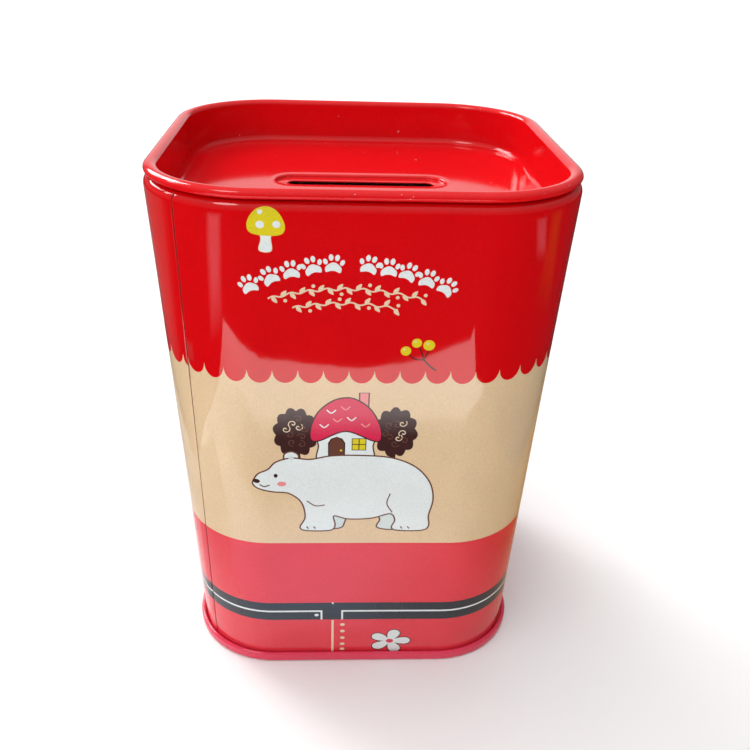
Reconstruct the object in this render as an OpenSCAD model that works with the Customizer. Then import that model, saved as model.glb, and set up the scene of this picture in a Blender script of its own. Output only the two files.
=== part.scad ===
// Tapered tin money box: a lock-seamed sheet body, a double-seamed bottom end
// and a plug lid with a coin slot. Millimetres, +Z up, front facing -Y.
// The origin is the centre of the footprint on the surface that the box stands on.

/* [Box] */
// Overall height, from the foot of the bottom seam to the top of the lid bead
total_h = 113.25; // [100:0.05:130]
// Outer width of the body at its shoulder
top_w = 85; // [80:1:92]
// Outer width of the body just above the bottom seam
bottom_w = 73.8; // [68:0.2:78]
// Outer corner radius at the shoulder
top_corner_r = 22.4; // [18:0.2:26]
// Outer corner radius just above the bottom seam
bottom_corner_r = 18; // [15:0.2:22]
// Outer radius of the curve that turns the wall in at the shoulder
shoulder_r = 1.9; // [1.5:0.1:2.4]
// Tinplate thickness
sheet_t = 0.3; // [0.24:0.02:0.32]

/* [Bottom seam] */
// Height of the double seam band
seam_h = 2.3; // [2.2:0.1:3.4]
// Height of the bottom panel above the foot of the seam
panel_lift = 3.2; // [2.8:0.2:5]

/* [Lid] */
// Depth of the lid's recess below the top of its bead
recess_depth = 9.85; // [8:0.05:14]
// Outer width of the oval curled bead round the lid
bead_w = 2.7; // [1.8:0.1:2.8]
// Outer height of that bead
bead_h = 1.95; // [1.6:0.05:2.4]
// Length of the coin slot
slot_l = 32; // [28:1:36]
// Width of the coin slot
slot_w = 3; // [2.5:0.1:3.5]
// How far the slot lies behind the middle of the lid
slot_back = 1.8; // [0:0.2:4]
// Depth of the sunk panel round the slot
slot_panel_depth = 0.7; // [0.5:0.1:0.9]
// Margin of the sunk panel round the slot
slot_panel_margin = 2.8; // [2:0.2:4]

/* [Side seam] */
// Direction of the side seam, as degrees round the front left corner from the left wall
seam_angle = 42; // [25:1:65]
// Width of the folded seam on the inside
lock_w = 5; // [4:0.5:6]

/* [Hidden] */

gap = 0.08;                                   // room between faces that only touch
plug_gap = 0.15;                              // room between the lid's plug and the body's mouth
corner_steps = 9;                             // segments in each corner of the tapered body
arc_steps = 5;                                // segments in each quarter turn of a profile
lip_r = 0.5;                                  // outer radius of the turn from the shoulder to the hem
hem_h = 1.6;                                  // length of the hem that lines the mouth
shoulder_z = total_h - bead_h - 0.1;          // top of the shoulder, just under the lid's bead
curl_z = shoulder_z - shoulder_r;             // where the wall turns into the shoulder
wall_z = seam_h + 0.5;                        // where the wall starts to flare, just above the seam
mouth_half = top_w / 2 - shoulder_r - lip_r;  // half width of the mouth inside the hem
plug_half = mouth_half - plug_gap;            // half width of the lid's plug, outside
floor_z = total_h - recess_depth;             // top face of the lid's floor
top_centre = top_w / 2 - top_corner_r;        // corner centre at the shoulder
bottom_centre = bottom_w / 2 - bottom_corner_r; // corner centre at the seam
groove = 0.12;                                // depth of the line that the side seam shows outside
seam_start = wall_z + 0.01;                   // where the side seam's line and fold start
seam_stop = curl_z - hem_h - 1;               // and where they stop
lock_half = asin(lock_w / 2 / top_corner_r);  // half the side seam's angle inside

// ---- Profiles: outlines in [half width, height] -----------------------------------------

// A point at part t of the way from a to b
function mix(a, b, t) = a + (b - a) * t;

// How far up the tapered wall a height is, from 0 at the seam to 1 at the shoulder
function rise(z) = min(1, max(0, (z - wall_z) / (curl_z - wall_z)));

// Half width of the wall's outer face, and the corner's centre, at a height
function wall_half(z) = mix(bottom_w, top_w, rise(z)) / 2;
function corner_centre(z) = mix(bottom_centre, top_centre, rise(z));

// Points on an arc of a profile, both ends included
function arc(centre, r, from, to) =
    [for (k = [0:arc_steps * ceil(abs(to - from) / 90)])
        let (a = mix(from, to, k / (arc_steps * ceil(abs(to - from) / 90))))
        centre + r * [cos(a), sin(a)]];

// Points on an arc of a profile that is stretched to two radii
function oval_arc(centre, radii, from, to) =
    [for (p = arc([0, 0], 1, from, to)) centre + [radii[0] * p[0], radii[1] * p[1]]];

// A list without its first entry
function rest(list) = [for (k = [1:len(list) - 1]) list[k]];

// Direction at right angles to a path, at its point k
function across(path, k) =
    let (a = path[max(k - 1, 0)], b = path[min(k + 1, len(path) - 1)], d = (b - a) / norm(b - a))
    [-d[1], d[0]];

// Both faces of a sheet whose middle follows a path, as one outline
function sheet(path) = concat(
    [for (k = [0:len(path) - 1]) path[k] + across(path, k) * sheet_t / 2],
    [for (k = [len(path) - 1:-1:0]) path[k] - across(path, k) * sheet_t / 2]);

// Middle of the body's sheet: hook in the bottom seam, tapered wall, shoulder, lip, hem
wall_in = sheet_t / 2;
body_foot_z = sheet_t + gap + wall_in;
hook_r = (sheet_t + 2 * gap + sheet_t) / 2;
hook_x = bottom_w / 2 - wall_in + hook_r;
body_path = concat(
    [[hook_x + hook_r, seam_h - sheet_t - 3 * gap]],
    arc([hook_x, body_foot_z + hook_r], hook_r, 0, -180),
    [[bottom_w / 2 - wall_in, wall_z]],
    arc([top_w / 2 - shoulder_r, curl_z], shoulder_r - wall_in, 0, 90),
    rest(arc([mouth_half + lip_r, shoulder_z - lip_r], lip_r - wall_in, 90, 180)),
    [[mouth_half + wall_in, shoulder_z - lip_r - hem_h]]);

// Middle of the bottom end's sheet: panel, chuck wall, foot, seaming wall, hook
chuck_x = bottom_w / 2 - sheet_t - gap - wall_in;
outer_x = hook_x + hook_r + sheet_t + gap;
panel_r = 0.8;
foot_r = 0.5;
top_r = (outer_x - hook_x) / 2;
end_path = concat(
    [[chuck_x - 12, panel_lift - wall_in]],
    arc([chuck_x - panel_r, panel_lift - wall_in - panel_r], panel_r, 90, 0),
    arc([chuck_x + foot_r, wall_in + foot_r], foot_r, 180, 270),
    arc([outer_x - foot_r, wall_in + foot_r], foot_r, 270, 360),
    arc([outer_x - top_r, seam_h - wall_in - top_r], top_r, 0, 180),
    [[hook_x, body_foot_z + hook_r + sheet_t]]);

// Middle of the lid's sheet: floor, fillet, plug wall, curled bead
lid_wall_x = plug_half - wall_in;
fillet_r = 1.7;
curl = [bead_w / 2 - wall_in, bead_h / 2 - wall_in];
lid_path = concat(
    [[lid_wall_x - 14, floor_z - wall_in]],
    arc([lid_wall_x - fillet_r, floor_z - wall_in + fillet_r], fillet_r, -90, 0),
    oval_arc([lid_wall_x + curl[0], total_h - bead_h / 2], curl, 180, -120));

// ---- Shapes ----------------------------------------------------------------------------

// A square with round corners, from its half width and its corner centre
module rounded_square(half, centre) {
    square([2 * half, 2 * centre], center = true);
    square([2 * centre, 2 * half], center = true);
    for (x = [-1, 1], y = [-1, 1])
        translate([x * centre, y * centre]) circle(half - centre, $fn = 96);
}

// A profile carried round a square with round corners of one size
module ring(profile, centre) {
    for (turn = [0:3]) rotate(90 * turn) {
        translate([centre, centre, 0])
            rotate_extrude(angle = 90, $fn = 96)
                polygon([for (p = profile) [p[0] - centre, p[1]]]);
        translate([0, centre, 0]) rotate([90, 0, 0])
            linear_extrude(2 * centre) polygon(profile);
    }
}

// A slot with round ends, lying along X
module stadium(length, width, height) {
    linear_extrude(height) {
        square([length - width, width], center = true);
        for (x = [-1, 1]) translate([x * (length - width) / 2, 0]) circle(width / 2, $fn = 48);
    }
}

// Angles of the points round one corner; the front left one adds the side seam's edges
function corner_angles(corner) = corner == 2
    ? concat([for (k = [0:2]) seam_plain(k / 3)], seam_edges(), [for (k = [1:3]) seam_after(k / 3)])
    : [for (k = [0:corner_steps]) 90 * k / corner_steps];
function seam_plain(t) = mix(0, seam_angle - lock_half - 1, t);
function seam_after(t) = mix(seam_angle + lock_half + 1, 90, t);
function seam_edges() = [seam_angle - lock_half - 1, seam_angle - lock_half, seam_angle - 0.6, seam_angle,
                         seam_angle + 0.6, seam_angle + lock_half, seam_angle + lock_half + 1];

// What the side seam takes off the corner radius: a line outside, the folded layers inside
function seam_step(corner, angle, inside, z) =
    corner != 2 || z < seam_start || z > seam_stop ? 0
    : inside ? (abs(angle - seam_angle) <= lock_half + 0.1 ? 2 * sheet_t : 0)
    : abs(angle - seam_angle) < 0.1 ? groove : 0;

// One loop of the tapered body at a profile point
function body_loop(p, inside) =
    [for (corner = [0:3], angle = corner_angles(corner))
        let (c = corner_centre(p[1]),
             r = p[0] - c - seam_step(corner, angle, inside, p[1]),
             turn = 90 * corner,
             x = c + r * cos(angle),
             y = c + r * sin(angle))
        [x * cos(turn) - y * sin(turn), x * sin(turn) + y * cos(turn), p[1]]];

// Triangles that join loop after loop, and the last to the first
function skin_faces(loops, n) =
    [for (i = [0:loops - 1], j = [0:n - 1])
        let (a = i * n + j, b = i * n + (j + 1) % n,
             c = ((i + 1) % loops) * n + (j + 1) % n, d = ((i + 1) % loops) * n + j)
        each [[a, b, c], [a, c, d]]];

// ---- Sub-parts --------------------------------------------------------------------------

// The body's path, with points added on the tall wall where the side seam starts and stops
body_line = concat(
    [for (p = body_path) if (p[1] <= wall_z) p],
    [for (z = [seam_start, seam_stop, seam_stop + 0.3]) [wall_half(z) - wall_in, z]],
    [for (p = body_path) if (p[1] > wall_z) p]);

module body_shell() {
    outline = sheet(body_line);
    // The path runs from the hook up the wall, so its right-hand face is the outside.
    loops = [for (k = [0:len(outline) - 1]) body_loop(outline[k], k < len(body_line))];
    color([0.80, 0.07, 0.09])
        polyhedron(points = [for (l = loops) each l], faces = skin_faces(len(loops), len(loops[0])));
}

module bottom_end() {
    color([0.80, 0.16, 0.30]) {
        ring(sheet(end_path), bottom_centre);
        translate([0, 0, panel_lift - sheet_t])
            linear_extrude(sheet_t) rounded_square(chuck_x - 12, bottom_centre);
    }
}

module lid() {
    panel_l = slot_l + 2 * slot_panel_margin;
    panel_w = slot_w + 2 * slot_panel_margin;
    panel_z = floor_z - slot_panel_depth;
    color([0.84, 0.05, 0.07]) difference() {
        union() {
            ring(sheet(lid_path), top_centre);
            translate([0, 0, floor_z - sheet_t])
                linear_extrude(sheet_t) rounded_square(lid_wall_x - 14, top_centre);
            translate([0, slot_back, panel_z - sheet_t])
                stadium(panel_l + 2 * sheet_t, panel_w + 2 * sheet_t, slot_panel_depth);
        }
        translate([0, slot_back, panel_z]) stadium(panel_l, panel_w, slot_panel_depth + 1);
        translate([0, slot_back, panel_z - 1]) stadium(slot_l, slot_w, 3);
    }
}

body_shell();
bottom_end();
lid();
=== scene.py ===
"""Looks of the tapered tin money box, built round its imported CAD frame.

The printed wall is one mesh whose faces are cut along the edges of the print, so that every ink is its own
material and stays sharp in close-up. Shapes are worked out in millimetres and stored in metres.
"""
import math

import bmesh
import bpy
import numpy as np
from mathutils import Matrix, Vector
from mathutils.geometry import delaunay_2d_cdt


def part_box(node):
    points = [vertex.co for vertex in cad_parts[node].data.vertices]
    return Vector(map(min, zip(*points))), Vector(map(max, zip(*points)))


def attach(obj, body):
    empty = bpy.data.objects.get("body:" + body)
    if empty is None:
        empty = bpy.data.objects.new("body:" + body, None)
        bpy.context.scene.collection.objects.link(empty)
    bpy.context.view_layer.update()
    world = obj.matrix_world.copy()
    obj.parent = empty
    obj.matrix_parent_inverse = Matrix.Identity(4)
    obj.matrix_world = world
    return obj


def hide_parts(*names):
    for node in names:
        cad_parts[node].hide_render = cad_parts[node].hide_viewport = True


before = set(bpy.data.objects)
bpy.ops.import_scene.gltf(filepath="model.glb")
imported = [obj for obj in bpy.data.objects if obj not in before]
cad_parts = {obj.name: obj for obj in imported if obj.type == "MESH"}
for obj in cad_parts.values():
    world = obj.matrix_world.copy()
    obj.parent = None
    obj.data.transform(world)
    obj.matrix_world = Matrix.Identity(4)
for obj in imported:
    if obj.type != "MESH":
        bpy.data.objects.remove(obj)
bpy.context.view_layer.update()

MM = 0.001
TAU = 2 * math.pi


def high_corner(node):
    """A CAD node's highest corner, in millimetres."""
    return np.array(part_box(node)[1]) / MM


# ---- Sizes, in millimetres ----------------------------------------------------------------

body_high, end_high, lid_high = (high_corner(node) for node in ("body_shell", "bottom_end", "lid"))

SHEET = 0.3                              # tinplate thickness
MID = SHEET / 2                          # from the sheet's middle to either face
TOP_HALF = body_high[0]                  # half width at the shoulder
SEAM_HALF = end_high[0]                  # half width of the bottom seam
TOTAL_H = lid_high[2]
SHOULDER_Z = body_high[2]
PANEL_Z = end_high[2]                    # top of the bottom panel
SEAM_H = 2.3                             # height of the bottom seam
SEAM_GAP = 0.08                          # between the layers folded into it
SEAM_OUT = 1.14                          # how far the bottom seam stands out from the wall
BOTTOM_HALF = SEAM_HALF - SEAM_OUT
TOP_CORNER_R = 22.4
BOTTOM_CORNER_R = 18.0
TOP_CENTRE = TOP_HALF - TOP_CORNER_R
BOTTOM_CENTRE = BOTTOM_HALF - BOTTOM_CORNER_R
SHOULDER_R = 1.9                         # bend from the wall to the shoulder
LIP_R = 0.5                              # bend from the shoulder into the mouth
HEM_H = 1.6                              # how far the hem goes down inside the mouth
CURL_Z = SHOULDER_Z - SHOULDER_R         # where the wall starts to bend
WALL_Z = SEAM_H + 0.5                    # where the wall's taper starts
PANEL_FLAT = 34.4                        # half width of the bottom panel
MOUTH_HALF = TOP_HALF - SHOULDER_R - LIP_R
BEAD_W = 2.7                             # the lid's oval bead
BEAD_H = 1.95
RECESS_DEPTH = 9.85
FLOOR_Z = TOTAL_H - RECESS_DEPTH
FILLET_R = 1.7                           # bend from the lid's wall to its floor
LID_FLAT = 34.0                          # half width of the lid's flat floor
FLOOR_STEPS = 14                         # rings across that floor
SLOT_L = 32.0
SLOT_W = 3.0
SLOT_MARGIN = 2.8                        # flat margin of the sunk panel round the slot
SLOT_BACK = 1.8                          # how far the slot lies behind the middle of the lid
SLOT_DEPTH = 0.7                         # how far that panel is sunk

# ---- Places round the tin -----------------------------------------------------------------
# A place s is 0 at the front's centre, 1 at the right, 2 at the back and 3 at the left.

STRAIGHT = 0.272                         # the flat part of a side ends this far from its centre
SEAM_S = 3.4850                          # the side seam, in the front left corner
SEAM_LEAN = 0.058                        # how far its top leans to the right of its foot
LEAN_LEVEL = 0.40                        # how far up the wall it keeps its place
LEAN_REACH = 8                           # millimetres beside the seam that lean with it
S_MM = 72.0                              # about how many millimetres one unit of s is


def ring(s, half, centre):
    """X and Y of the places s on a square with round corners."""
    side = np.round(s)
    d = s - side
    m = np.abs(d)
    r = half - centre
    angle = np.clip((m - STRAIGHT) / (0.5 - STRAIGHT), 0, 1) * math.pi / 4
    flat = m <= STRAIGHT
    x = np.where(flat, centre * d / STRAIGHT, np.sign(d) * (centre + r * np.sin(angle)))
    y = -np.where(flat, half, centre + r * np.cos(angle))
    turn = side * math.pi / 2
    return x * np.cos(turn) - y * np.sin(turn), x * np.sin(turn) + y * np.cos(turn)


def quarter_places(flat_steps, corner_steps):
    """Places that a quarter turn needs, from the front's centre to the right side's."""
    flat = np.linspace(0, STRAIGHT, flat_steps + 1)
    corner = np.linspace(STRAIGHT, 1 - STRAIGHT, corner_steps + 1)
    return np.unique(np.concatenate([flat, corner, 1 - flat[:-1]]))[:-1]


def turn_places(flat_steps=4, corner_steps=24):
    """Places right round a ring."""
    return np.concatenate([k + quarter_places(flat_steps, corner_steps) for k in range(4)])


def rise(z):
    """How far up the tapered wall a height is, from 0 to 1."""
    return np.clip((z - WALL_Z) / (CURL_Z - WALL_Z), 0, 1)


def corner_centre(z):
    return BOTTOM_CENTRE + (TOP_CENTRE - BOTTOM_CENTRE) * rise(z)


def wall_half(z):
    return BOTTOM_HALF + (TOP_HALF - BOTTOM_HALF) * rise(z)


def smoothstep(low, high, x):
    t = np.clip((x - low) / (high - low), 0, 1)
    return t * t * (3 - 2 * t)


def seam_distance(s):
    """Millimetres from the side seam, positive on its right."""
    return ((s - SEAM_S + 2) % 4 - 2) * S_MM


# ---- The outer wall -----------------------------------------------------------------------
# A height v is z on the wall, and goes on over the shoulder as the distance along its curve.

PRINT_END = 60                           # degrees round the shoulder where the print ends
V_LOW = 1.2                              # the print's foot, hidden in the bottom seam
V_TOP = CURL_Z + SHOULDER_R * math.radians(PRINT_END)


def dent(s, v):
    """How far the outer wall lies inside its plain shape: soft waves in the sheet, and the side seam."""
    waves = (0.030 * np.sin(TAU * s * 0.75 + v / 19 + 0.6) + 0.022 * np.sin(TAU * s * 1.75 - v / 27 + 2.1)
             + 0.016 * np.sin(v / 9.5 + 3.1 * np.cos(TAU * s / 4)))
    waves = (waves + 0.068) * smoothstep(6, 20, v) * (1 - smoothstep(92, 107, v))
    x = seam_distance(s)
    seam = 0.20 * np.exp(-(x / 0.20) ** 2) - 0.10 * np.exp(-((x + 2.4) / 1.5) ** 2)
    return waves + seam * smoothstep(V_LOW, V_LOW + 0.6, v) * (1 - smoothstep(V_TOP - 0.5, V_TOP, v))


def wall_points(s, v):
    """Points of the outer wall at places s and heights v, in millimetres."""
    s, v = np.asarray(s, float), np.asarray(v, float)
    sunk = dent(s, v)
    s = s + SEAM_LEAN * (rise(v) - LEAN_LEVEL) * np.exp(-(seam_distance(s) / LEAN_REACH) ** 2)
    turn = np.clip((v - CURL_Z) / SHOULDER_R, 0, math.pi / 2)
    half = wall_half(v) - SHOULDER_R * (1 - np.cos(turn)) - sunk
    x, y = ring(s, half, corner_centre(v))
    return np.stack([x, y, np.minimum(v, CURL_Z) + SHOULDER_R * np.sin(turn)], -1)


def wall_normals(s, v):
    """Outward normals of the outer wall, from the slope on both sides of each point."""
    ds, dv = 0.0012, 0.08
    along = wall_points(s + ds, v) - wall_points(s - ds, v)
    up = wall_points(s, v + dv) - wall_points(s, v - dv)
    n = np.cross(along, up)
    return n / np.linalg.norm(n, axis=1, keepdims=True)


# ---- Profiles -----------------------------------------------------------------------------

def arc(centre, r, start, end, steps=8):
    """Points of a profile's arc from one angle to another, in degrees, both ends included."""
    count = max(2, math.ceil(steps * abs(end - start) / 90))
    a = np.radians(np.linspace(start, end, count + 1))
    return np.stack([centre[0] + r * np.cos(a), centre[1] + r * np.sin(a)], 1)


def path(*stretches):
    """Joins stretches of points, leaving out a point that repeats the one before it."""
    points = np.concatenate([np.atleast_2d(np.array(p, float)) for p in stretches])
    keep = np.r_[True, np.linalg.norm(np.diff(points, axis=0), axis=1) > 1e-6]
    return points[keep]


def across(points):
    """Unit vectors to the left of a path."""
    step = np.gradient(points, axis=0)
    step /= np.linalg.norm(step, axis=1, keepdims=True)
    return np.stack([-step[:, 1], step[:, 0]], 1)


def cap(point, left):
    """A round end of the sheet, from its left face to its right face."""
    ahead = np.array([left[1], -left[0]])
    a = np.radians((54, 18, -18, -54))[:, None]
    return point + MID * (np.cos(a) * ahead + np.sin(a) * left)


def sheet_outline(points):
    """Both faces of a sheet about a path: out along its left face, round its end, back along its right."""
    n = across(points)
    return np.concatenate([points + MID * n, cap(points[-1], n[-1]), (points - MID * n)[::-1]])


# ---- Meshes -------------------------------------------------------------------------------

def skin(loops):
    """Quads that join loops of points, each closed on itself, and the last loop to the first."""
    count, n = len(loops), len(loops[0])
    return [(i * n + j, i * n + (j + 1) % n, (i + 1) % count * n + (j + 1) % n, (i + 1) % count * n + j)
            for i in range(count) for j in range(n)]


def make_piece(name, points, faces, node, body, materials, inks=None, normals=None):
    """A smooth closed mesh in metres that stands for a CAD node; zero normals are left to Blender."""
    used, again = np.unique(np.concatenate([np.ravel(face) for face in faces]), return_inverse=True)
    ends = np.cumsum([len(face) for face in faces])
    corners = [part.tolist() for part in np.split(again, ends[:-1])]
    mesh = bpy.data.meshes.new(name)
    mesh.from_pydata((points[used] * MM).tolist(), [], corners)
    for material in materials:
        mesh.materials.append(material)
    if inks is not None:
        mesh.polygons.foreach_set("material_index", np.asarray(inks, np.int32))
    face_outwards(mesh)
    mesh.shade_smooth()
    if normals is not None:
        mesh.normals_split_custom_set_from_vertices(normals[used].tolist())
    piece = bpy.data.objects.new(name, mesh)
    bpy.context.scene.collection.objects.link(piece)
    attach(piece, body)
    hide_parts(node)
    return piece


def face_outwards(mesh):
    """Turns every face of a closed mesh outwards."""
    bm = bmesh.new()
    bm.from_mesh(mesh)
    bmesh.ops.recalc_face_normals(bm, faces=bm.faces)
    bm.to_mesh(mesh)
    bm.free()


def poled(loops):
    """Points and faces of loops whose first and last close on a point each."""
    count = len(loops[0])
    points = np.concatenate([loops[0][:1], *loops[1:-1], loops[-1][:1]])
    last = len(points) - 1
    faces = [(0, 1 + j, 1 + (j + 1) % count) for j in range(count)]
    for i in range(len(loops) - 3):
        a, b = 1 + i * count, 1 + (i + 1) * count
        faces += [(a + j, b + j, b + (j + 1) % count, a + (j + 1) % count) for j in range(count)]
    a = last - count
    return points, faces + [(last, a + (j + 1) % count, a + j) for j in range(count)]


# ---- Materials ----------------------------------------------------------------------------

def map_range(tree, value, low, high, out_low, out_high):
    """Maps a value's range to another in a node tree, clamped."""
    node = tree.nodes.new("ShaderNodeMapRange")
    sockets = ("From Min", "From Max", "To Min", "To Max")
    for name, number in zip(sockets, (low, high, out_low, out_high)):
        node.inputs[name].default_value = number
    tree.links.new(value, node.inputs["Value"])
    return node.outputs["Result"]


class Paint:
    """A node material being put together."""

    def __init__(self, name):
        self.material = bpy.data.materials.new(name)
        self.material.use_nodes = True
        self.nodes = self.material.node_tree.nodes
        self.links = self.material.node_tree.links
        self.shader = self.nodes["Principled BSDF"]
        self.place = self.nodes.new("ShaderNodeTexCoord").outputs["Object"]

    def set(self, **values):
        for name, value in values.items():
            self.shader.inputs[name.replace("_", " ")].default_value = value

    def noise(self, size_mm, detail=2.0, stretch=(1, 1, 1)):
        """Noise from 0 to 1 whose features are about that size."""
        node = self.nodes.new("ShaderNodeTexNoise")
        node.inputs["Scale"].default_value = 1000 / size_mm
        node.inputs["Detail"].default_value = detail
        place = self.place
        if stretch != (1, 1, 1):
            mapping = self.nodes.new("ShaderNodeMapping")
            mapping.inputs["Scale"].default_value = stretch
            self.links.new(self.place, mapping.inputs["Vector"])
            place = mapping.outputs["Vector"]
        self.links.new(place, node.inputs["Vector"])
        return node.outputs["Fac"]

    def ramp(self, value, low, high, out_low=0.0, out_high=1.0):
        return map_range(self.material.node_tree, value, low, high, out_low, out_high)

    def math(self, kind, a, b):
        node = self.nodes.new("ShaderNodeMath")
        node.operation = kind
        for socket, value in zip(node.inputs, (a, b)):
            if isinstance(value, (int, float)):
                socket.default_value = value
            else:
                self.links.new(value, socket)
        return node.outputs["Value"]

    def mix(self, part, a, b):
        """Colour a where part is 0, and b where it is 1."""
        node = self.nodes.new("ShaderNodeMix")
        node.data_type = "RGBA"
        self.links.new(part, node.inputs["Factor"])
        for socket, value in ((node.inputs[6], a), (node.inputs[7], b)):
            if isinstance(value, tuple):
                socket.default_value = (*value, 1)
            else:
                self.links.new(value, socket)
        return node.outputs[2]

    def height(self, metres, height, normal=None):
        """A bump from a height that is 0 to 1, as deep as given."""
        node = self.nodes.new("ShaderNodeBump")
        node.inputs["Distance"].default_value = metres
        self.links.new(height, node.inputs["Height"])
        if normal is not None:
            self.links.new(normal, node.inputs["Normal"])
        return node.outputs["Normal"]


def scaled(colour, k):
    return tuple(min(1.0, c * k) for c in colour)


def lacquer(name, colour, coat=1.0, wear=0.0, gloss=0.045, peel=0.0022):
    """Ink under clear lacquer: grain in the ink, orange peel in the lacquer, and faint rubbing.

    Wear is how much of the ink is chipped, gloss the lacquer's roughness, and peel its depth in millimetres.
    """
    paint = Paint(name)
    grain = paint.ramp(paint.noise(0.35), 0.35, 0.65)
    patches = paint.ramp(paint.noise(9.0, 3.0), 0.3, 0.7)
    tone = paint.mix(grain, scaled(colour, 0.95), scaled(colour, 1.04))
    deep = paint.mix(grain, scaled(colour, 0.90), scaled(colour, 0.99))
    tone = paint.mix(patches, deep, tone)
    rubbed = paint.ramp(paint.noise(5.0, 6.0, (1, 1, 0.12)), 0.60, 0.78)
    if wear:
        chips = paint.ramp(paint.noise(1.1, 5.0), 0.74 - wear, 0.76 - wear)
        tone = paint.mix(chips, tone, (0.55, 0.54, 0.52))
    paint.links.new(tone, paint.shader.inputs["Base Color"])
    worn = paint.math("ADD", paint.ramp(patches, 0, 1, 0.30, 0.37), paint.ramp(rubbed, 0, 1, 0, 0.10))
    paint.links.new(worn, paint.shader.inputs["Roughness"])
    swells = paint.math("ADD", paint.noise(1.6, 1.0), paint.math("MULTIPLY", paint.noise(5.0, 1.0), 3.0))
    film = paint.height(peel * MM, swells)
    paint.links.new(film, paint.shader.inputs["Coat Normal"])
    paint.links.new(paint.height(0.0015 * MM, grain, film), paint.shader.inputs["Normal"])
    paint.set(Coat_Weight=coat, Coat_IOR=1.58, Coat_Roughness=gloss, Specular_IOR_Level=0.0)
    return paint.material


def bare_tinplate():
    """The unprinted side of the sheet: bright tin with faint rolling lines."""
    paint = Paint("bare_tinplate")
    lines = paint.noise(0.5, 3.0, (0.06, 0.06, 1))
    tone = paint.mix(paint.noise(12.0, 3.0), (0.70, 0.70, 0.68), (0.84, 0.84, 0.83))
    paint.links.new(tone, paint.shader.inputs["Base Color"])
    paint.links.new(paint.ramp(lines, 0.3, 0.7, 0.27, 0.34), paint.shader.inputs["Roughness"])
    paint.links.new(paint.height(0.00025 * MM, lines), paint.shader.inputs["Normal"])
    paint.set(Metallic=0.7)
    return paint.material


INK_COLOURS = {
    "red": (0.625, 0.0015, 0.0035),
    "beige": (0.71, 0.515, 0.315),
    "rose": (0.72, 0.032, 0.052),
    "belt": (0.012, 0.020, 0.030),
    "white": (0.73, 0.775, 0.77),
    "cream": (0.76, 0.60, 0.42),
    "yellow": (0.70, 0.58, 0.020),
    "brown": (0.045, 0.013, 0.011),
    "umber": (0.13, 0.045, 0.028),
    "pink": (0.66, 0.020, 0.075),
    "blush": (0.78, 0.26, 0.26),
    "shade": (0.62, 0.68, 0.67),
    "seam_line": (0.15, 0.020, 0.016),
}
INKS = list(INK_COLOURS)


# ---- The print ----------------------------------------------------------------------------
# Shapes are drawn on one side's wall: across from the side's centre line, and up from the foot.

def closed(points, steps=6):
    """A smooth closed curve through points."""
    p = np.array(points, float)
    a, b, c, d = (np.roll(p, k, 0) for k in (1, 0, -1, -2))
    t = np.linspace(0, 1, steps, endpoint=False)[:, None, None]
    curve = 0.5 * (2 * b + (c - a) * t + (2 * a - 5 * b + 4 * c - d) * t**2 + (3 * b - a - 3 * c + d) * t**3)
    return curve.transpose(1, 0, 2).reshape(-1, 2)


def ellipse(x, z, rx, rz=None, turn=0.0, steps=20):
    rz = rx if rz is None else rz
    a = np.linspace(0, TAU, steps, endpoint=False)
    c, s = math.cos(math.radians(turn)), math.sin(math.radians(turn))
    px, pz = rx * np.cos(a), rz * np.sin(a)
    return np.stack([x + px * c - pz * s, z + px * s + pz * c], 1)


def stroke(points, width, taper=0.0):
    """A line of a width along points, thinner at its end by that part."""
    p = np.array(points, float)
    n = across(p)
    half = width / 2 * (1 - taper * np.linspace(0, 1, len(p)))[:, None]
    return np.concatenate([p + n * half, (p - n * half)[::-1]])


def curve(points, steps=6):
    """A smooth open curve through points."""
    p = np.array(points, float)
    p = np.concatenate([[2 * p[0] - p[1]], p, [2 * p[-1] - p[-2]]])
    out = []
    for a, b, c, d in zip(p, p[1:], p[2:], p[3:]):
        t = np.linspace(0, 1, steps, endpoint=False)[:, None]
        out.append(0.5 * (2 * b + (c - a) * t + (2 * a - 5 * b + 4 * c - d) * t**2
                          + (3 * b - a - 3 * c + d) * t**3))
    return np.concatenate([*out, p[-2:-1]])


def signed_area(shape):
    """A shape's area, positive if it runs counterclockwise."""
    x, y = shape.T
    return (x @ np.roll(y, -1) - y @ np.roll(x, -1)) / 2


def grown(shape, by):
    """A shape with its edge moved out."""
    n = across(np.concatenate([shape[-2:], shape, shape[:2]]))[2:-2]
    return shape - n * by * np.sign(signed_area(shape))


def turned(shape, x, z, degrees, size=1.0):
    """A shape drawn about (0, 0), sized, turned and put at a place."""
    c, s = math.cos(math.radians(degrees)) * size, math.sin(math.radians(degrees)) * size
    return np.stack([x + shape[:, 0] * c - shape[:, 1] * s, z + shape[:, 0] * s + shape[:, 1] * c], 1)


def cloud(x, z, rx, rz, bumps, depth=0.09, start=0.0):
    """A round bushy outline."""
    a = np.linspace(0, TAU, bumps * 6, endpoint=False)
    r = 1 + depth * (np.abs(np.sin(bumps * a / 2 + start)) - 0.6)
    return np.stack([x + rx * r * np.cos(a), z + rz * r * np.sin(a)], 1)


def outlined(ink, shape, line=0.28, line_ink="brown"):
    return [(line_ink, grown(shape, line)), (ink, shape)]


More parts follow.
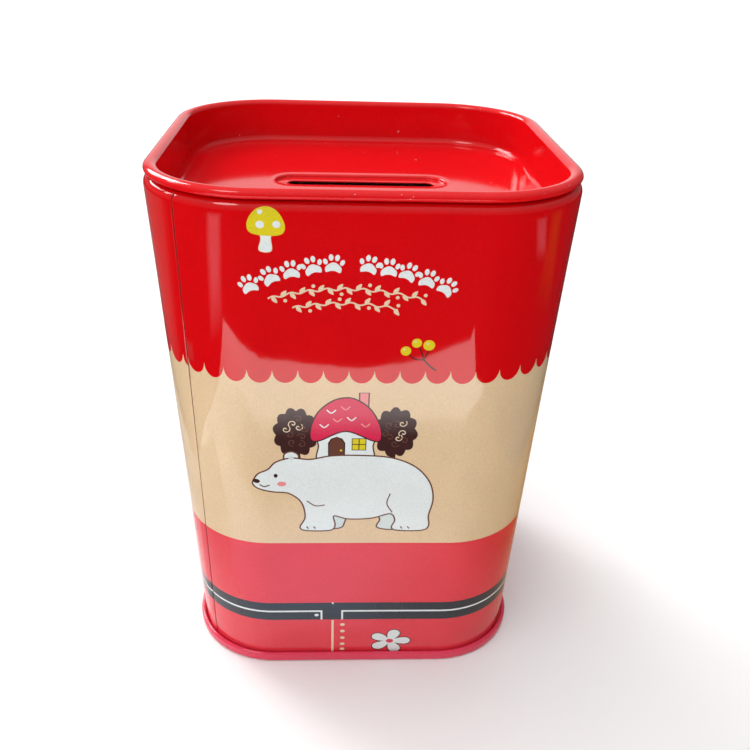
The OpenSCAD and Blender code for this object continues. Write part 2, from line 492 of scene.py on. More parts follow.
def toadstool(x=0.0, z=0.0, size=1.0):
    """A spotted toadstool; (x, z) is the foot of its stem."""
    stem = closed([(-1.0, 0), (1.0, 0), (0.85, 2.2), (0.8, 4.0), (-0.9, 4.0), (-0.75, 2.0)])
    hat = closed([(-3.35, 4.3), (-2.6, 3.1), (0, 2.75), (2.6, 3.1), (3.35, 4.3), (2.9, 6.0), (1.7, 7.5),
                  (0, 8.1), (-1.8, 7.5), (-3.0, 6.0)])
    spots = [("white", ellipse(-1.05, 4.75, 0.75, 0.68)), ("white", ellipse(1.85, 4.95, 0.70, 0.66)),
             ("white", ellipse(-1.1, 7.05, 0.48, 0.42))]
    art = [*outlined("white", stem, 0.14, "cream"), ("yellow", hat), *spots]
    return [(ink, turned(shape, x, z, -3, size)) for ink, shape in art]


def berries():
    """A sprig of round fruit."""
    foot, fork = (13.8, 78.1), (11.3, 80.5)
    fruit = [(7.8, 82.4, 1.0, 0.7), (9.8, 84.1, 0.97, 0.0), (12.15, 83.65, 1.12, 0.0)]
    art = [("brown", stroke(curve([foot, (12.7, 79.0), fork]), 0.34))]
    for x, z, r, sag in fruit:
        middle = ((x + fork[0]) / 2 + 0.2 - sag / 2, (z + fork[1]) / 2 - sag)
        art.append(("brown", stroke(curve([fork, middle, (x, z)]), 0.26)))
    for x, z, r, sag in fruit:
        art += [("yellow", ellipse(x, z, r)), ("cream", ellipse(x - 0.3, z + 0.35, 0.26, 0.2, 30, 10))]
    return art


def paw(x, z, degrees, size=1.0):
    """A paw print: one pad and four toes."""
    pad = closed([(-1.15, -1.2), (-0.35, -0.95), (0.35, -0.95), (1.15, -1.2), (1.25, -0.35), (0.5, 0.35),
                  (0, 0.5), (-0.5, 0.35), (-1.25, -0.35)], 4)
    toes = [ellipse(*toe, 12) for toe in ((-1.35, 0.55, 0.36, 0.52, 24), (-0.5, 1.3, 0.38, 0.56, 8),
                                          (0.5, 1.3, 0.38, 0.56, -8), (1.35, 0.55, 0.36, 0.52, -24))]
    return [("white", turned(shape, x, z, degrees, size)) for shape in (pad, *toes)]


def paw_arc():
    """Two groups of paw prints on a rising and falling arc."""
    centre, radius = (-3.4, 60.3), 39.5
    art = []
    for start, end in ((-21.2, -6.0), (0.4, 14.6)):
        for k in range(5):
            x = start + (end - start) * k / 4
            lean = math.degrees(math.asin((x - centre[0]) / radius))
            z = centre[1] + radius * math.cos(math.radians(lean))
            art += paw(x, z, -lean + (8 if k % 2 else -8), 1.14)
    return art


def garland(x_start, x_end, z_ends, z_peak, count):
    """A wavy vine with leaves and buds along a low arc."""
    x = np.linspace(x_start, x_end, count * 5)
    u = 2 * (x - x_start) / (x_end - x_start) - 1
    z = z_peak - (z_peak - z_ends) * u**2 + 0.25 * np.sin((x - x_start) * 1.9)
    art = [("cream", stroke(np.stack([x, z], 1), 0.3))]
    leaf = closed([(0, 0), (0.65, 0.5), (1.6, 0.12), (0.7, -0.34)], 4)
    for k in range(count):
        i = 2 + 5 * k
        up = 1 if k % 2 else -1
        art.append(("cream", turned(leaf * (1, up), x[i], z[i], 48 * up, 1.0)))
        if k % 3 == 1:
            art.append(("cream", ellipse(x[i] + 0.75, z[i] - 0.75 * up, 0.36, steps=10)))
    return art


def bushy_tree(x, z, side):
    """A dark curly tree; side is which way its trunk leans."""
    trunk = stroke(curve([(x + side * 0.6, 54.5), (x + side * 0.3, 58.5), (x, z)]), 1.3, 0.2)
    art = [("brown", trunk), ("brown", cloud(x, z, 4.3, 5.7, 11, 0.16, side))]
    a = np.linspace(0.4, 2.3 * math.pi, 16)
    for k in range(9):
        cx = x + 2.5 * math.cos(k * 2.4 + side) * (0.45 + 0.06 * k)
        cz = z + 3.6 * math.sin(k * 2.4 + side) * (0.45 + 0.06 * k)
        r = 0.95 * a / a[-1]
        curl = np.stack([cx + r * np.cos(a + k), cz + r * np.sin(a + k)], 1)
        art.append(("cream" if k % 3 == 0 else "umber", stroke(curl, 0.26, 0.3)))
    return art


def cottage():
    """A small round-roofed cottage with a window and a door."""
    walls = closed([(-8.2, 56.5), (1.6, 56.5), (2.1, 60.5), (2.0, 64.6), (-8.4, 64.6), (-8.6, 60.5)])
    roof = closed([(-10.2, 62.3), (-8.6, 61.9), (-3.3, 64.2), (2.2, 61.9), (3.7, 62.3), (3.3, 65.6),
                   (1.4, 69.2), (-1.2, 71.3), (-3.4, 71.8), (-6.0, 71.0), (-8.6, 68.6), (-10.0, 65.4)])
    chimney = np.array([(-0.6, 69.6), (1.0, 69.6), (1.0, 73.0), (-0.6, 73.0)])
    art = [*outlined("blush", chimney), *outlined("white", walls)]
    door = np.array([(-6.6, 56.5), (-3.6, 56.5), (-3.6, 61.2), (-4.1, 62.1), (-5.1, 62.5), (-6.1, 62.1),
                     (-6.6, 61.2)])
    pane = np.array([(-1.9, 59.6), (0.7, 59.6), (0.7, 62.2), (-1.9, 62.2)])
    art += [*outlined("umber", door, 0.24), ("yellow", ellipse(-4.2, 59.4, 0.24, steps=10))]
    art += [*outlined("yellow", pane, 0.24), ("brown", stroke(np.array([(-0.6, 59.6), (-0.6, 62.2)]), 0.2)),
            ("brown", stroke(np.array([(-1.9, 60.9), (0.7, 60.9)]), 0.2))]
    art += [*outlined("pink", roof, 0.3)]
    tiles = ((-7.6, 65.2), (-5.0, 66.6), (-2.2, 66.9), (0.6, 65.4), (-6.2, 68.6), (-3.4, 69.4))
    for k, (x, z) in enumerate(tiles):
        tile = curve([(x - 0.9, z + 0.5), (x, z - 0.25), (x + 0.9, z + 0.5)], 4)
        art.append(("blush" if k % 2 else "white", stroke(tile, 0.26)))
    return art


def bear():
    """A plain white bear walking to the left."""
    far = [closed([(-8.4, 43.5), (-7.9, 40.6), (-8.2, 39.3), (-4.4, 39.3), (-3.4, 40.8), (-3.2, 44.2)]),
           closed([(3.4, 44.4), (4.4, 41.6), (3.9, 39.4), (8.2, 39.3), (9.2, 44.0)])]
    body = closed([(-21.9, 51.9), (-20.9, 53.4), (-18.9, 54.5), (-17.3, 56.3), (-14.2, 57.3), (-10.4, 57.0),
                   (-6.0, 57.9), (0.0, 58.0), (6.2, 57.4), (11.0, 55.2), (14.1, 51.4), (15.1, 47.0),
                   (14.4, 42.6), (14.6, 39.9), (13.4, 38.7), (9.0, 38.6), (7.0, 39.2), (7.6, 41.4),
                   (6.4, 43.2), (2.4, 42.0), (-2.4, 41.8), (-5.6, 42.6), (-5.4, 39.9), (-6.4, 38.7),
                   (-10.6, 38.6), (-12.5, 39.3), (-11.4, 42.2), (-12.2, 46.2), (-14.8, 48.6), (-18.0, 49.0),
                   (-20.8, 49.7), (-22.1, 50.7)])
    ear = closed([(-15.4, 56.9), (-15.5, 58.3), (-14.2, 58.9), (-13.0, 58.2), (-13.1, 56.8), (-14.3, 56.2)])
    art = [part for leg in far for part in outlined("shade", leg, 0.34, "umber")]
    art += [*outlined("white", ear, 0.34, "umber"), *outlined("white", body, 0.34, "umber")]
    art += [("shade", ellipse(-14.3, 57.5, 0.55, 0.6, 0, 12)),
            ("brown", ellipse(-21.5, 51.6, 0.75, 0.55, -12, 14)),
            ("brown", ellipse(-17.5, 53.0, 0.42, 0.5, 0, 14)),
            ("blush", ellipse(-16.3, 50.9, 0.95, 0.6, 0, 14))]
    lines = [[(-20.9, 50.7), (-19.9, 50.2), (-18.8, 50.6)], [(-11.2, 46.5), (-9.4, 45.2), (-7.4, 45.4)],
             [(6.8, 43.4), (5.6, 45.8), (6.2, 48.4)], [(-11.3, 39.6), (-10.9, 39.0)],
             [(-9.8, 39.6), (-9.4, 39.0)], [(8.7, 39.6), (9.1, 39.0)], [(10.2, 39.6), (10.6, 39.0)]]
    return art + [("umber", stroke(curve(line), 0.28)) for line in lines]


def daisy(x, z, size=1.0):
    """Five rounded petals round a pink middle."""
    petal = closed([(0.35, 0), (1.1, 0.75), (2.7, 1.22), (3.8, 0.95), (4.25, 0), (3.8, -0.95), (2.7, -1.22),
                    (1.1, -0.75)])
    shapes = [turned(petal, 0, 0, 74 + 72 * k, 0.95 * size) * (1.18, 0.9) + (x, z) for k in range(5)]
    art = [("brown", grown(shape, 0.24)) for shape in shapes] + [("white", shape) for shape in shapes]
    return art + [("pink", ellipse(x, z, 0.85 * size, 0.65 * size))]


def clasp():
    """What lies between the belt's two ends: a stud, a tick, a line down and five buttons."""
    tick = np.array([(-5.75, 17.0), (-5.35, 17.0), (-5.35, 17.5), (-5.75, 17.5)])
    line = np.array([(-5.8, 1.6), (-5.3, 1.6), (-5.3, 12.0), (-5.8, 12.0)])
    art = [("white", ellipse(-9.2, 13.6, 0.5, 0.4, 0, 12)), ("white", tick), ("cream", line)]
    for z in (10.56, 8.47, 6.36, 4.35, 2.7):
        art.append(("cream", ellipse(-3.27, z, 0.55, 0.42, 0, 12)))
    return art


def front_picture():
    return [*toadstool(-18.1, 102.4), *berries(), *paw_arc(), *garland(-17.9, 10.8, 93.0, 95.1, 17),
            *garland(-13.5, 5.9, 91.2, 92.2, 11), *bushy_tree(-13.3, 63.6, 1), *bushy_tree(6.6, 63.8, -1),
            *cottage(), *bear()]


def side_picture():
    return [*toadstool(-9.0, 50.0, 1.2), *toadstool(-2.4, 50.3, 0.8), *daisy(8.5, 55.0, 0.8),
            *daisy(5.0, 92.0, 0.8), *daisy(-7.0, 97.0, 0.6)]


def across_to_place(x, v):
    """How far in s a distance along the wall is from its side's centre."""
    centre = corner_centre(v)
    corner = wall_half(v) - centre
    m = np.abs(x)
    on_corner = STRAIGHT + (0.5 - STRAIGHT) * (m - centre) / corner / (math.pi / 4)
    return np.sign(x) * np.where(m <= centre, STRAIGHT * m / centre, on_corner)


def on_side(side, art):
    return [(ink, np.stack([side + across_to_place(shape[:, 0], shape[:, 1]), shape[:, 1]], 1))
            for ink, shape in art]


# ---- Body ---------------------------------------------------------------------------------

SEAM_W = 0.125 / S_MM                    # half width of the side seam's line
LEFT_S, RIGHT_S = SEAM_S - 4, SEAM_S     # the printed sheet's two edges
SCALLOPS = 59.3                          # how many scallops go round
SCALLOP_TIP, SCALLOP_FOOT = 78.0, 75.2   # heights of their tips and of their lowest points
FIRST_TIP = -2.9                         # a tip's distance from the front's centre
SAND_FOOT = 35.0                         # height where the sand colour ends
BELT = (12.2, 17.4)                      # heights of the belt's edges
BELT_LINE = (14.58, 15.05)               # heights of the edges of the line on it
BELT_ENDS = (-7.9, -3.6)                 # where that line turns down, across from the front's centre
LINE_W = 0.42
HEM_LOOPS = 21                           # unprinted loops, from the shoulder, that are still lacquered


def wall_columns():
    """Places of the wall's columns, closer together beside the side seam."""
    base = np.concatenate([turn_places() - 4, turn_places()])
    near = np.array([0.2, 0.45, 0.9, 1.8, 3.2, 5.0]) / S_MM
    extra = np.concatenate([LEFT_S + near, RIGHT_S - near])
    inside = base[(base > LEFT_S + 0.09) & (base < RIGHT_S - 0.09)]
    ends = [LEFT_S, LEFT_S + SEAM_W, RIGHT_S - SEAM_W, RIGHT_S]
    return np.unique(np.round(np.concatenate([inside, extra, ends]), 7))


def wall_rows():
    low = [V_LOW, 1.8, WALL_Z, 6.0]
    turn = CURL_Z + SHOULDER_R * np.radians(np.linspace(0, PRINT_END, 9))
    return np.unique(np.concatenate([low, np.arange(11, 108, 6.0), [CURL_Z - 1.2], turn, [V_TOP]]))


def level(v, start, end, columns):
    """Points along one height from one place to another."""
    inner = columns[(columns > start + 1e-6) & (columns < end - 1e-6)]
    s = np.concatenate([[start], inner, [end]])
    return np.stack([s, np.full(len(s), v)], 1)


def band(low, high, start, end, columns):
    return np.concatenate([level(low, start, end, columns), level(high, start, end, columns)[::-1]])


def scallops(start, end):
    """The scalloped edge between the red and the sand colour."""
    pitch = 4 / SCALLOPS
    first_tip = float(across_to_place(np.array(FIRST_TIP), np.array(SCALLOP_TIP)))
    tips = first_tip + pitch * np.arange(-9, 60)
    s = np.unique(np.concatenate([np.arange(start, end, pitch / 14), tips, [end]]))
    s = s[(s >= start) & (s <= end)]
    u = ((s - first_tip) / pitch) % 1 * 2 - 1
    return np.stack([s, SCALLOP_FOOT + (SCALLOP_TIP - SCALLOP_FOOT) * (1 - np.sqrt(1 - u**2 + 1e-12))], 1)


def printed_shapes(columns):
    """Every printed shape in (place, height), in the order they are laid down."""
    start, end = LEFT_S + SEAM_W, RIGHT_S - SEAM_W
    left_end, right_end = (float(across_to_place(np.array(x), np.array(14.0))) for x in BELT_ENDS)
    art = [("beige", np.concatenate([level(SAND_FOOT, start, end, columns), scallops(start, end)[::-1]])),
           ("rose", band(V_LOW, SAND_FOOT, start, end, columns)),
           ("belt", band(*BELT, start, end, columns)),
           ("white", band(*BELT_LINE, start, left_end, columns)),
           ("white", band(*BELT_LINE, right_end, end, columns)),
           ("white", band(BELT[0], BELT_LINE[0], left_end - LINE_W / S_MM, left_end, columns)),
           ("white", band(BELT[0], BELT_LINE[0], right_end, right_end + LINE_W / S_MM, columns))]
    art += on_side(0, front_picture() + clasp() + daisy(7.76, 5.2))
    art += on_side(2, front_picture() + daisy(7.76, 5.2))
    for side in (1, 3):
        art += on_side(side, side_picture())
    art += [("seam_line", band(V_LOW, V_TOP, LEFT_S, start, columns)),
            ("seam_line", band(V_LOW, V_TOP, end, RIGHT_S, columns))]
    return art


def printed_wall():
    """The outer wall cut along its print: places, heights, triangles and each triangle's ink."""
    columns, rows = wall_columns(), wall_rows()
    grid = np.stack(np.meshgrid(columns, rows, indexing="ij"), -1).reshape(-1, 2)
    points, faces, inks = [grid], [], [INKS.index("red")]
    count = len(grid)
    whole_sheet = band(V_LOW, V_TOP, LEFT_S, RIGHT_S, columns)
    for ink, shape in [("red", whole_sheet), *printed_shapes(columns)]:
        points.append(shape if signed_area(shape) > 0 else shape[::-1])
        faces.append(list(range(count, count + len(shape))))
        inks.append(INKS.index(ink))
        count += len(shape)
    flat = np.concatenate(points) * (S_MM, 1)
    made = delaunay_2d_cdt(flat.tolist(), [], faces, 0, 1e-5, True)
    places = np.array(made[0], float) / (S_MM, 1)
    triangles = np.array(made[2])
    layer = [inks[max(over) + 1] if over else inks[0] for over in made[5]]
    return places[:, 0], places[:, 1], triangles, layer


def edge_points(s, v, at):
    """Indexes of the wall's points at one height, in order round the tin, without the doubled seam point."""
    found = np.flatnonzero(np.abs(v - at) < 1e-6)
    return found[np.argsort(s[found])][:-1]


def sheet_behind(s):
    """Loops of the body's unprinted sheet: shoulder, lip, hem, inside and the hook in the bottom seam."""
    top = (TOP_HALF - SHOULDER_R, CURL_Z)
    lip = (MOUTH_HALF + LIP_R, SHOULDER_Z - LIP_R)
    hem_z = SHOULDER_Z - LIP_R - HEM_H
    hem = [(MOUTH_HALF, hem_z), (MOUTH_HALF + MID, hem_z - MID), (MOUTH_HALF + SHEET, hem_z)]
    upper = path(arc(top, SHOULDER_R, PRINT_END, 90, 12)[1:], arc(lip, LIP_R, 90, 180, 6), hem,
                 arc(lip, LIP_R - SHEET, 180, 90, 4), arc(top, SHOULDER_R - SHEET, 90, 0, 8))
    loops = [(half, z, TOP_CENTRE) for half, z in upper]
    for z in (100.0, 80.0, 60.0, 40.0, 20.0, WALL_Z):
        loops.append((float(wall_half(z)) - SHEET, z, float(corner_centre(z))))
    foot_z = SHEET + SEAM_GAP + MID
    hook_r = SHEET + SEAM_GAP
    hook = (BOTTOM_HALF - MID + hook_r, foot_z + hook_r)
    lower = path(arc(hook, hook_r + MID, 180, 360, 5), [(hook[0] + hook_r + MID, 1.76)],
                 [(hook[0] + hook_r - MID, 1.76)], arc(hook, hook_r - MID, 360, 180, 4))
    loops += [(half, z, BOTTOM_CENTRE) for half, z in lower]
    return [np.stack([*ring(s, half, centre), np.full(len(s), z)], 1) for half, z, centre in loops]


def make_body(materials):
    """The printed sheet, with its bare side inside, from the seam's hook to the hem and back."""
    s, v, triangles, layer = printed_wall()
    top, bottom = edge_points(s, v, V_TOP), edge_points(s, v, V_LOW)
    left = np.flatnonzero(np.abs(s - LEFT_S) < 1e-6)
    right = np.flatnonzero(np.abs(s - RIGHT_S) < 1e-6)
    same = np.arange(len(s))
    same[right[np.argsort(v[right])]] = left[np.argsort(v[left])]
    loops = sheet_behind(s[top])
    count = len(top)
    rings = [top, *(len(s) + count * k + np.arange(count) for k in range(len(loops))), bottom]
    quads = [(a[j], a[(j + 1) % count], b[(j + 1) % count], b[j])
             for a, b in zip(rings, rings[1:]) for j in range(count)]
    coated = HEM_LOOPS * count
    inks = layer + [INKS.index("red") if k < coated else len(INKS) for k in range(len(quads))]
    points = np.concatenate([wall_points(s, v), *loops])
    normals = np.concatenate([wall_normals(s, v), np.zeros((count * len(loops), 3))])
    make_piece("body_sheet", points, [*same[triangles], *quads], "body_shell", "tin_body",
               materials, inks, normals)


# ---- Bottom end ---------------------------------------------------------------------------

def make_bottom_end(materials):
    """The panel with a pressed ring, its countersink, and the double seam round its edge."""
    chuck = BOTTOM_HALF - SHEET - SEAM_GAP - MID
    hook = BOTTOM_HALF - MID + SHEET + SEAM_GAP
    outer = SEAM_HALF - MID
    panel_z = PANEL_Z - MID
    top_r = (outer - hook) / 2
    panel = [(0.0, panel_z), (6, panel_z), (14, panel_z), (22, panel_z)]
    pressed = path(arc((24.4, panel_z + 1.6), 1.6, 270, 305, 6),
                   arc((26.8, panel_z - 1.1), 1.75, 125, 55, 8),
                   arc((29.2, panel_z + 1.6), 1.6, 235, 270, 6))
    pressed[:, 1] = np.minimum(pressed[:, 1], panel_z + 0.45)
    rim = path([(32, panel_z), (PANEL_FLAT, panel_z)], arc((chuck - 0.8, panel_z - 0.8), 0.8, 90, 0, 8),
               arc((chuck + 0.5, MID + 0.5), 0.5, 180, 270, 7),
               arc((outer - 0.5, MID + 0.5), 0.5, 270, 360, 7),
               arc((outer - top_r, SEAM_H - MID - top_r), top_r, 0, 180, 6), [(hook, 1.25)])
    middle = path(panel, pressed, rim)
    outline = sheet_outline(middle)
    s = turn_places()
    loops = []
    for half, z in outline:
        centre = BOTTOM_CENTRE * min(1, half / PANEL_FLAT)
        if half < 0.5:
            centre = half = 0.0
        loops.append(np.stack([*ring(s, half, centre), np.full(len(s), z)], 1))
    points, faces = poled(loops)
    make_piece("bottom_seamed_end", points, faces, "bottom_end", "tin_body", materials)


# ---- Lid ----------------------------------------------------------------------------------

def slot_outline(s, grow):
    """X and Y of the coin slot's outline, grown by a margin."""
    t = np.mod(s, 2)
    t = np.minimum(t, 2 - t)
    r = SLOT_W / 2 + grow
    angle = np.clip(t - 0.5, 0, 0.5) * math.pi
    x = (SLOT_L - SLOT_W) / 2 * np.minimum(t * 2, 1) + r * np.sin(angle)
    y = r * np.cos(angle)
    return np.where(np.mod(s, 4) < 2, x, -x), SLOT_BACK + np.where(np.mod(s + 1, 4) < 2, -y, y)


def slot_loops(s, profile):
    return [np.stack([*slot_outline(s, grow), np.full(len(s), z)], 1) for grow, z in profile]


def ring_loops(s, profile):
    return [np.stack([*ring(s, half, TOP_CENTRE * min(1, half / LID_FLAT)), np.full(len(s), z)], 1)
            for half, z in profile]


def floor_loops(inner, outer):
    """Loops of the flat floor from the slot's panel to the lid's wall, with the sheet's slight waves."""
    loops = []
    for t in np.linspace(0, 1, FLOOR_STEPS + 1)[1:-1]:
        loop = inner + (outer - inner) * t
        wave = 0.02 * np.sin(loop[:, 0] / 15 + 0.8) * np.cos(loop[:, 1] / 17 - 0.4) - 0.03
        loop[:, 2] += wave * math.sin(math.pi * t)
        loops.append(loop)
    return loops


def make_lid(materials):
    """The slot's sunk panel, the floor round it, the wall, and the bead that rests on the shoulder."""
    floor = FLOOR_Z - MID
    panel = floor - SLOT_DEPTH
    bend = 0.35
    inner = path([(MID, panel), (0.8, panel)],
                 arc((SLOT_MARGIN - bend, panel + bend), bend, -90, 0, 6),
                 arc((SLOT_MARGIN + bend, floor - bend), bend, 180, 90, 6))
    wall = MOUTH_HALF - 0.15 - MID
    curl = (BEAD_W / 2 - MID, BEAD_H / 2 - MID)
    outer = path([(LID_FLAT, floor)], arc((wall - FILLET_R, floor + FILLET_R), FILLET_R, -90, 0, 12),
                 arc((0, 0), 1, 180, -115, 8) * curl + (wall + curl[0], TOTAL_H - BEAD_H / 2))
    s = turn_places(6, 32)
    near, far = across(inner), across(outer)
    top_in, low_in = slot_loops(s, inner + MID * near), slot_loops(s, inner - MID * near)
    top_out, low_out = ring_loops(s, outer + MID * far), ring_loops(s, outer - MID * far)
    bead_end = ring_loops(s, cap(outer[-1], far[-1]))
    slot_edge = slot_loops(s, cap(inner[0], -near[0]))
    loops = [*top_in, *floor_loops(top_in[-1], top_out[0]), *top_out, *bead_end, *low_out[::-1],
             *floor_loops(low_out[0], low_in[-1]), *low_in[::-1], *slot_edge]
    points, faces = np.concatenate(loops), skin(loops)
    make_piece("plug_lid", points, faces, "lid", "lid", materials)


# ---- Room, light and camera ---------------------------------------------------------------

CAMERA_PLACE = (-6.44, -190.70, 155.13)
CAMERA_AZIMUTH, CAMERA_ELEVATION, CAMERA_ROLL = -3.262, 27.454, 1.900
FOCAL_TO_WIDTH = 881.65 / 750


def make_camera():
    camera = bpy.data.objects.new("camera", bpy.data.cameras.new("camera"))
    az, el, roll = (math.radians(a) for a in (CAMERA_AZIMUTH, CAMERA_ELEVATION, CAMERA_ROLL))
    ahead = np.array([-math.sin(az) * math.cos(el), math.cos(az) * math.cos(el), -math.sin(el)])
    right = np.array([math.cos(az), math.sin(az), 0])
    up = np.cross(right, ahead)
    right, up = right * math.cos(roll) + up * math.sin(roll), up * math.cos(roll) - right * math.sin(roll)
    pose = np.eye(4)
    pose[:3, :4] = np.stack([right, up, -ahead, np.array(CAMERA_PLACE) * MM], 1)
    camera.matrix_world = Matrix(pose.tolist())
    camera.data.lens = camera.data.sensor_width * FOCAL_TO_WIDTH
    camera.data.clip_start = 0.01
    bpy.context.scene.collection.objects.link(camera)
    bpy.context.scene.camera = camera


def stage_mesh(name, points, faces, material):
    """A mesh, in millimetres, that belongs to the room."""
    mesh = bpy.data.meshes.new(name)
    mesh.from_pydata([tuple(c * MM for c in point) for point in points], [], faces)
    mesh.materials.append(material)
    thing = bpy.data.objects.new(name, mesh)
    bpy.context.scene.collection.objects.link(thing)
    return thing


def rectangle(name, low, high, z, material):
    """A level rectangle of the room, from its low corner to its high one."""
    (x, y), (far_x, far_y) = low, high
    corners = [(x, y, z), (far_x, y, z), (far_x, far_y, z), (x, far_y, z)]
    return stage_mesh(name, corners, [(0, 1, 2, 3)], material)


def between_rings(count):
    """Quads between an inner ring's points and the outer ring's, which follow them."""
    return [(i, (i + 1) % count, count + (i + 1) % count, count + i) for i in range(count)]


def floor_material():
    paint = Paint("pale_floor")
    tone = paint.mix(paint.noise(60.0, 3.0), (0.86, 0.86, 0.86), (0.90, 0.90, 0.90))
    paint.links.new(tone, paint.shader.inputs["Base Color"])
    paint.set(Roughness=0.9, Specular_IOR_Level=0.1)
    return paint.material


def glow(name, colour):
    material = bpy.data.materials.new(name)
    material.use_nodes = True
    nodes, links = material.node_tree.nodes, material.node_tree.links
    nodes.clear()
    out = nodes.new("ShaderNodeOutputMaterial")
    shine = nodes.new("ShaderNodeEmission")
    shine.inputs["Color"].default_value = (*colour, 1)
    links.new(shine.outputs[0], out.inputs["Surface"])
    return material


def fade_in(material, part):
    """Makes a glow clear where part is 0, and leaves it whole where part is 1."""
    nodes, links = material.node_tree.nodes, material.node_tree.links
    clear = nodes.new("ShaderNodeBsdfTransparent")
    mix = nodes.new("ShaderNodeMixShader")
    links.new(part, mix.inputs["Fac"])
    links.new(clear.outputs[0], mix.inputs[1])
    links.new(nodes["Emission"].outputs[0], mix.inputs[2])
    links.new(mix.outputs[0], nodes["Material Output"].inputs["Surface"])


def make_world():
    """White to the camera, a room brighter above and on the left as light, and a dim one to mirrors."""
    world = bpy.data.worlds.new("room")
    bpy.context.scene.world = world
    world.use_nodes = True
    tree = world.node_tree
    nodes, links = tree.nodes, tree.links
    nodes.clear()
    out = nodes.new("ShaderNodeOutputWorld")
    ray = nodes.new("ShaderNodeLightPath")
    place = nodes.new("ShaderNodeTexCoord")
    split = nodes.new("ShaderNodeSeparateXYZ")
    links.new(place.outputs["Generated"], split.inputs[0])

    def combined(kind, a, b):
        node = nodes.new("ShaderNodeMath")
        node.operation = kind
        links.new(a, node.inputs[0])
        links.new(b, node.inputs[1])
        return node.outputs[0]

    def backdrop(strength=None):
        node = nodes.new("ShaderNodeBackground")
        node.inputs["Color"].default_value = (1, 1, 1, 1)
        if strength is not None:
            links.new(strength, node.inputs["Strength"])
        return node.outputs[0]

    def to_rays(kind, chosen, other):
        node = nodes.new("ShaderNodeMixShader")
        links.new(ray.outputs[kind], node.inputs["Fac"])
        links.new(other, node.inputs[1])
        links.new(chosen, node.inputs[2])
        return node.outputs[0]

    rising = map_range(tree, split.outputs["Z"], 0.0, 0.9, 0.43, 1.04)
    sideways = map_range(tree, split.outputs["X"], -0.9, 0.9, 1.32, 0.20)
    dimmed = map_range(tree, split.outputs["Z"], 0.25, 0.95, 0.16, 0.52)
    behind = map_range(tree, split.outputs["Y"], 0.86, 0.97, 0.0, 0.72)
    room = backdrop(combined("MULTIPLY", rising, sideways))
    mirrored = backdrop(combined("ADD", dimmed, behind))
    seen = to_rays("Is Camera Ray", backdrop(), to_rays("Is Glossy Ray", mirrored, room))
    links.new(seen, out.inputs["Surface"])


# Heights in millimetres of the sheets that only reflections see, each over the ones before it.
GLOW_Z = 0.8
SHADE_Z = 1.2
FRONT_SHADE_Z = 1.4
DARK_Z = 1.5
PATCH_Z = 2.0
FLOOR_REACH = 6000

# The pale floor near the tin, whose light the walls mirror; the wider floor looks dark to them.
PALE_EDGE_FRONT = [(-133, -151), (-120, -155), (-100, -159), (-68, -164), (-40, -165.5), (-22, -163.5),
                   (-5, -160.5), (8, -160), (20, -163), (31, -169), (43, -178.5), (57, -188)]
PALE_EDGE_REST = [(61, -172), (65, -149), (80, -138), (91, -114), (103, -59), (103, 0), (103, 110),
                  (-100, 110), (-102, -11), (-122, -43), (-122, -94), (-124, -112)]
# Soft patches on it: corners, where each starts and ends fading as a part of its size, and its colour.
PALE_PATCHES = {
    "streak_left": ([(-150, -100), (-207, -158), (-262, -238), (-196, -292), (-154, -205), (-130, -140)],
                    0.40, 1.0, (0.95, 0.95, 1.05)),
    "streak_right": ([(283, -152), (325, -90), (255, -30), (238, -92)], 0.40, 1.0, (0.55, 0.55, 0.60)),
    "streak_seam": ([(-120, 40), (-300, 5), (-480, 40), (-480, 420), (-130, 620), (-60, 420)], 0.75, 1.1,
                    (0.17, 0.17, 0.16)),
    "foot_glow": ([(-80, -84), (8, -88), (22, -72), (8, -42), (-48, -42), (-80, -58)], 0.6, 1.0,
                  (1.0, 1.1, 1.3)),
    "rim_left": ([(-150, 220), (-60, 180), (0, 600), (-160, 700)], 0.5, 1.2, (0.8, 0.8, 0.8)),
    "rim_right": ([(100, 165), (170, 220), (170, 600), (20, 600)], 0.5, 1.2, (0.6, 0.42, 0.35)),
    "streak_warm": ([(225, -42), (365, -55), (375, 35), (222, 38)], 0.25, 1.25, (0.24, 0.19, 0.03)),
}


def unseen_but_mirrored(thing):
    """Leaves an object to mirror-like reflections only."""
    thing.visible_camera = False
    thing.visible_diffuse = False
    thing.visible_shadow = False


def make_dark_surround():
    """A dark sheet over the floor with a hole round the tin."""
    inner = np.concatenate([curve(PALE_EDGE_FRONT, 5), PALE_EDGE_REST])
    outer = inner / np.linalg.norm(inner, axis=1, keepdims=True) * FLOOR_REACH
    points = [(x, y, DARK_Z) for x, y in np.concatenate([inner, outer])]
    dark = glow("surround_dark", (0.025, 0.025, 0.03))
    unseen_but_mirrored(stage_mesh("dark_surround", points, between_rings(len(inner)), dark))


def sun(name, direction, degrees, power):
    """A far light of an apparent size, shining from a direction."""
    light = bpy.data.lights.new(name, "SUN")
    light.angle = math.radians(degrees)
    light.energy = power
    thing = bpy.data.objects.new(name, light)
    thing.rotation_mode = "QUATERNION"
    thing.rotation_quaternion = Vector(direction).to_track_quat("Z", "Y")
    bpy.context.scene.collection.objects.link(thing)
    return thing


def fading_glow(name, colour, axis, clear_at, full_at, low, high, z):
    """A glow for reflections that fades in along an axis, from clear at one place to full at another."""
    material = glow(name, colour)
    tree = material.node_tree
    place = tree.nodes.new("ShaderNodeTexCoord")
    split = tree.nodes.new("ShaderNodeSeparateXYZ")
    tree.links.new(place.outputs["Object"], split.inputs[0])
    fade_in(material, map_range(tree, split.outputs[axis], clear_at * MM, full_at * MM, 0, 1))
    unseen_but_mirrored(rectangle(name, low, high, z, material))


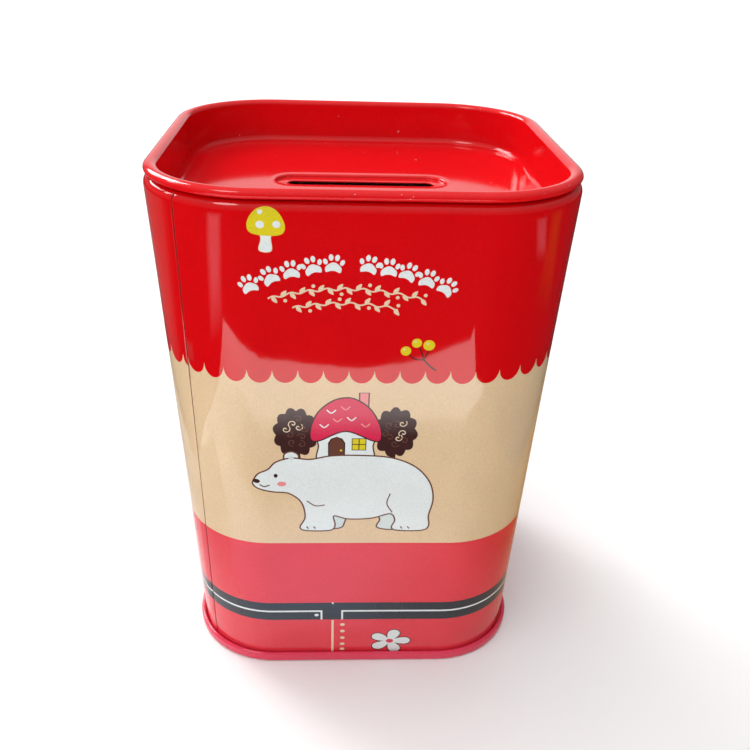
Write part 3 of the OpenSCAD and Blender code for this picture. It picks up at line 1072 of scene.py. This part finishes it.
def soft_patch(name, corners, inner, outer, colour, z=PATCH_Z):
    """A patch of the floor that glows for reflections and fades out towards its edge."""
    corners = np.array(corners, float)
    centre = corners.mean(0)
    count = len(corners)
    rings = [centre + (corners - centre) * part for part in (inner, outer)]
    points = [(x, y, z) for x, y in np.concatenate(rings)]
    material = glow(name, colour)
    thing = stage_mesh(name, points, [list(range(count)), *between_rings(count)], material)
    fade = thing.data.attributes.new("fade", "FLOAT", "POINT")
    fade.data.foreach_set("value", [1.0] * count + [0.0] * count)
    shown = material.node_tree.nodes.new("ShaderNodeAttribute")
    shown.attribute_name = "fade"
    fade_in(material, shown.outputs["Fac"])
    unseen_but_mirrored(thing)


def make_room():
    """The floor and background, the lights, and the sheets that shape the tin's reflections."""
    make_world()
    rectangle("floor", (-FLOOR_REACH, -FLOOR_REACH), (FLOOR_REACH, FLOOR_REACH), 0, floor_material())
    fading_glow("front_glow", (2.3, 2.3, 2.3), "Y", -95, -150, (-240, -260), (110, -80), GLOW_Z)
    fading_glow("left_shade", (0.45, 0.45, 0.45), "X", -40, -75, (-110, -60), (-35, 130), SHADE_Z)
    fading_glow("side_shade", (0.42, 0.19, 0.04), "X", 12, 66, (5, -130), (110, 120), SHADE_Z)
    make_dark_surround()
    soft_patch("front_shade", [(-85, -128), (80, -128), (80, -84), (-85, -84)], 0.6, 1.15,
               (0.12, 0.12, 0.14), FRONT_SHADE_Z)
    for name, (corners, inner, outer, colour) in PALE_PATCHES.items():
        soft_patch(name, corners, inner, outer, colour)
    sun("key_high", (-0.55, 0.50, 0.67), 18, 0.80)
    sun("key_low", (-0.54, 0.69, 0.48), 26, 1.05)
    sun("glint_left", (-0.76, 0.28, 0.58), 10, 0.20).visible_diffuse = False
    sun("glint_front", (-0.40, -0.36, 0.84), 19, 0.50).visible_diffuse = False
    sun("overhead", (0.0, 0.10, 1.0), 50, 1.0).visible_glossy = False
    sun("front_fill", (-0.55, -0.75, 0.45), 70, 0.80).visible_glossy = False
    bpy.context.scene.view_settings.view_transform = "Standard"


make_camera()
make_room()
ink_materials = [lacquer(f"ink_{ink}", colour, 0.15 if ink == "seam_line" else 1.0)
                 for ink, colour in INK_COLOURS.items()]
make_body([*ink_materials, bare_tinplate()])
make_bottom_end([lacquer("seam_pink", (0.72, 0.036, 0.088), wear=0.01)])
make_lid([lacquer("lid_red", (0.715, 0.0036, 0.0068), wear=0.01, gloss=0.085, peel=0.0009)])
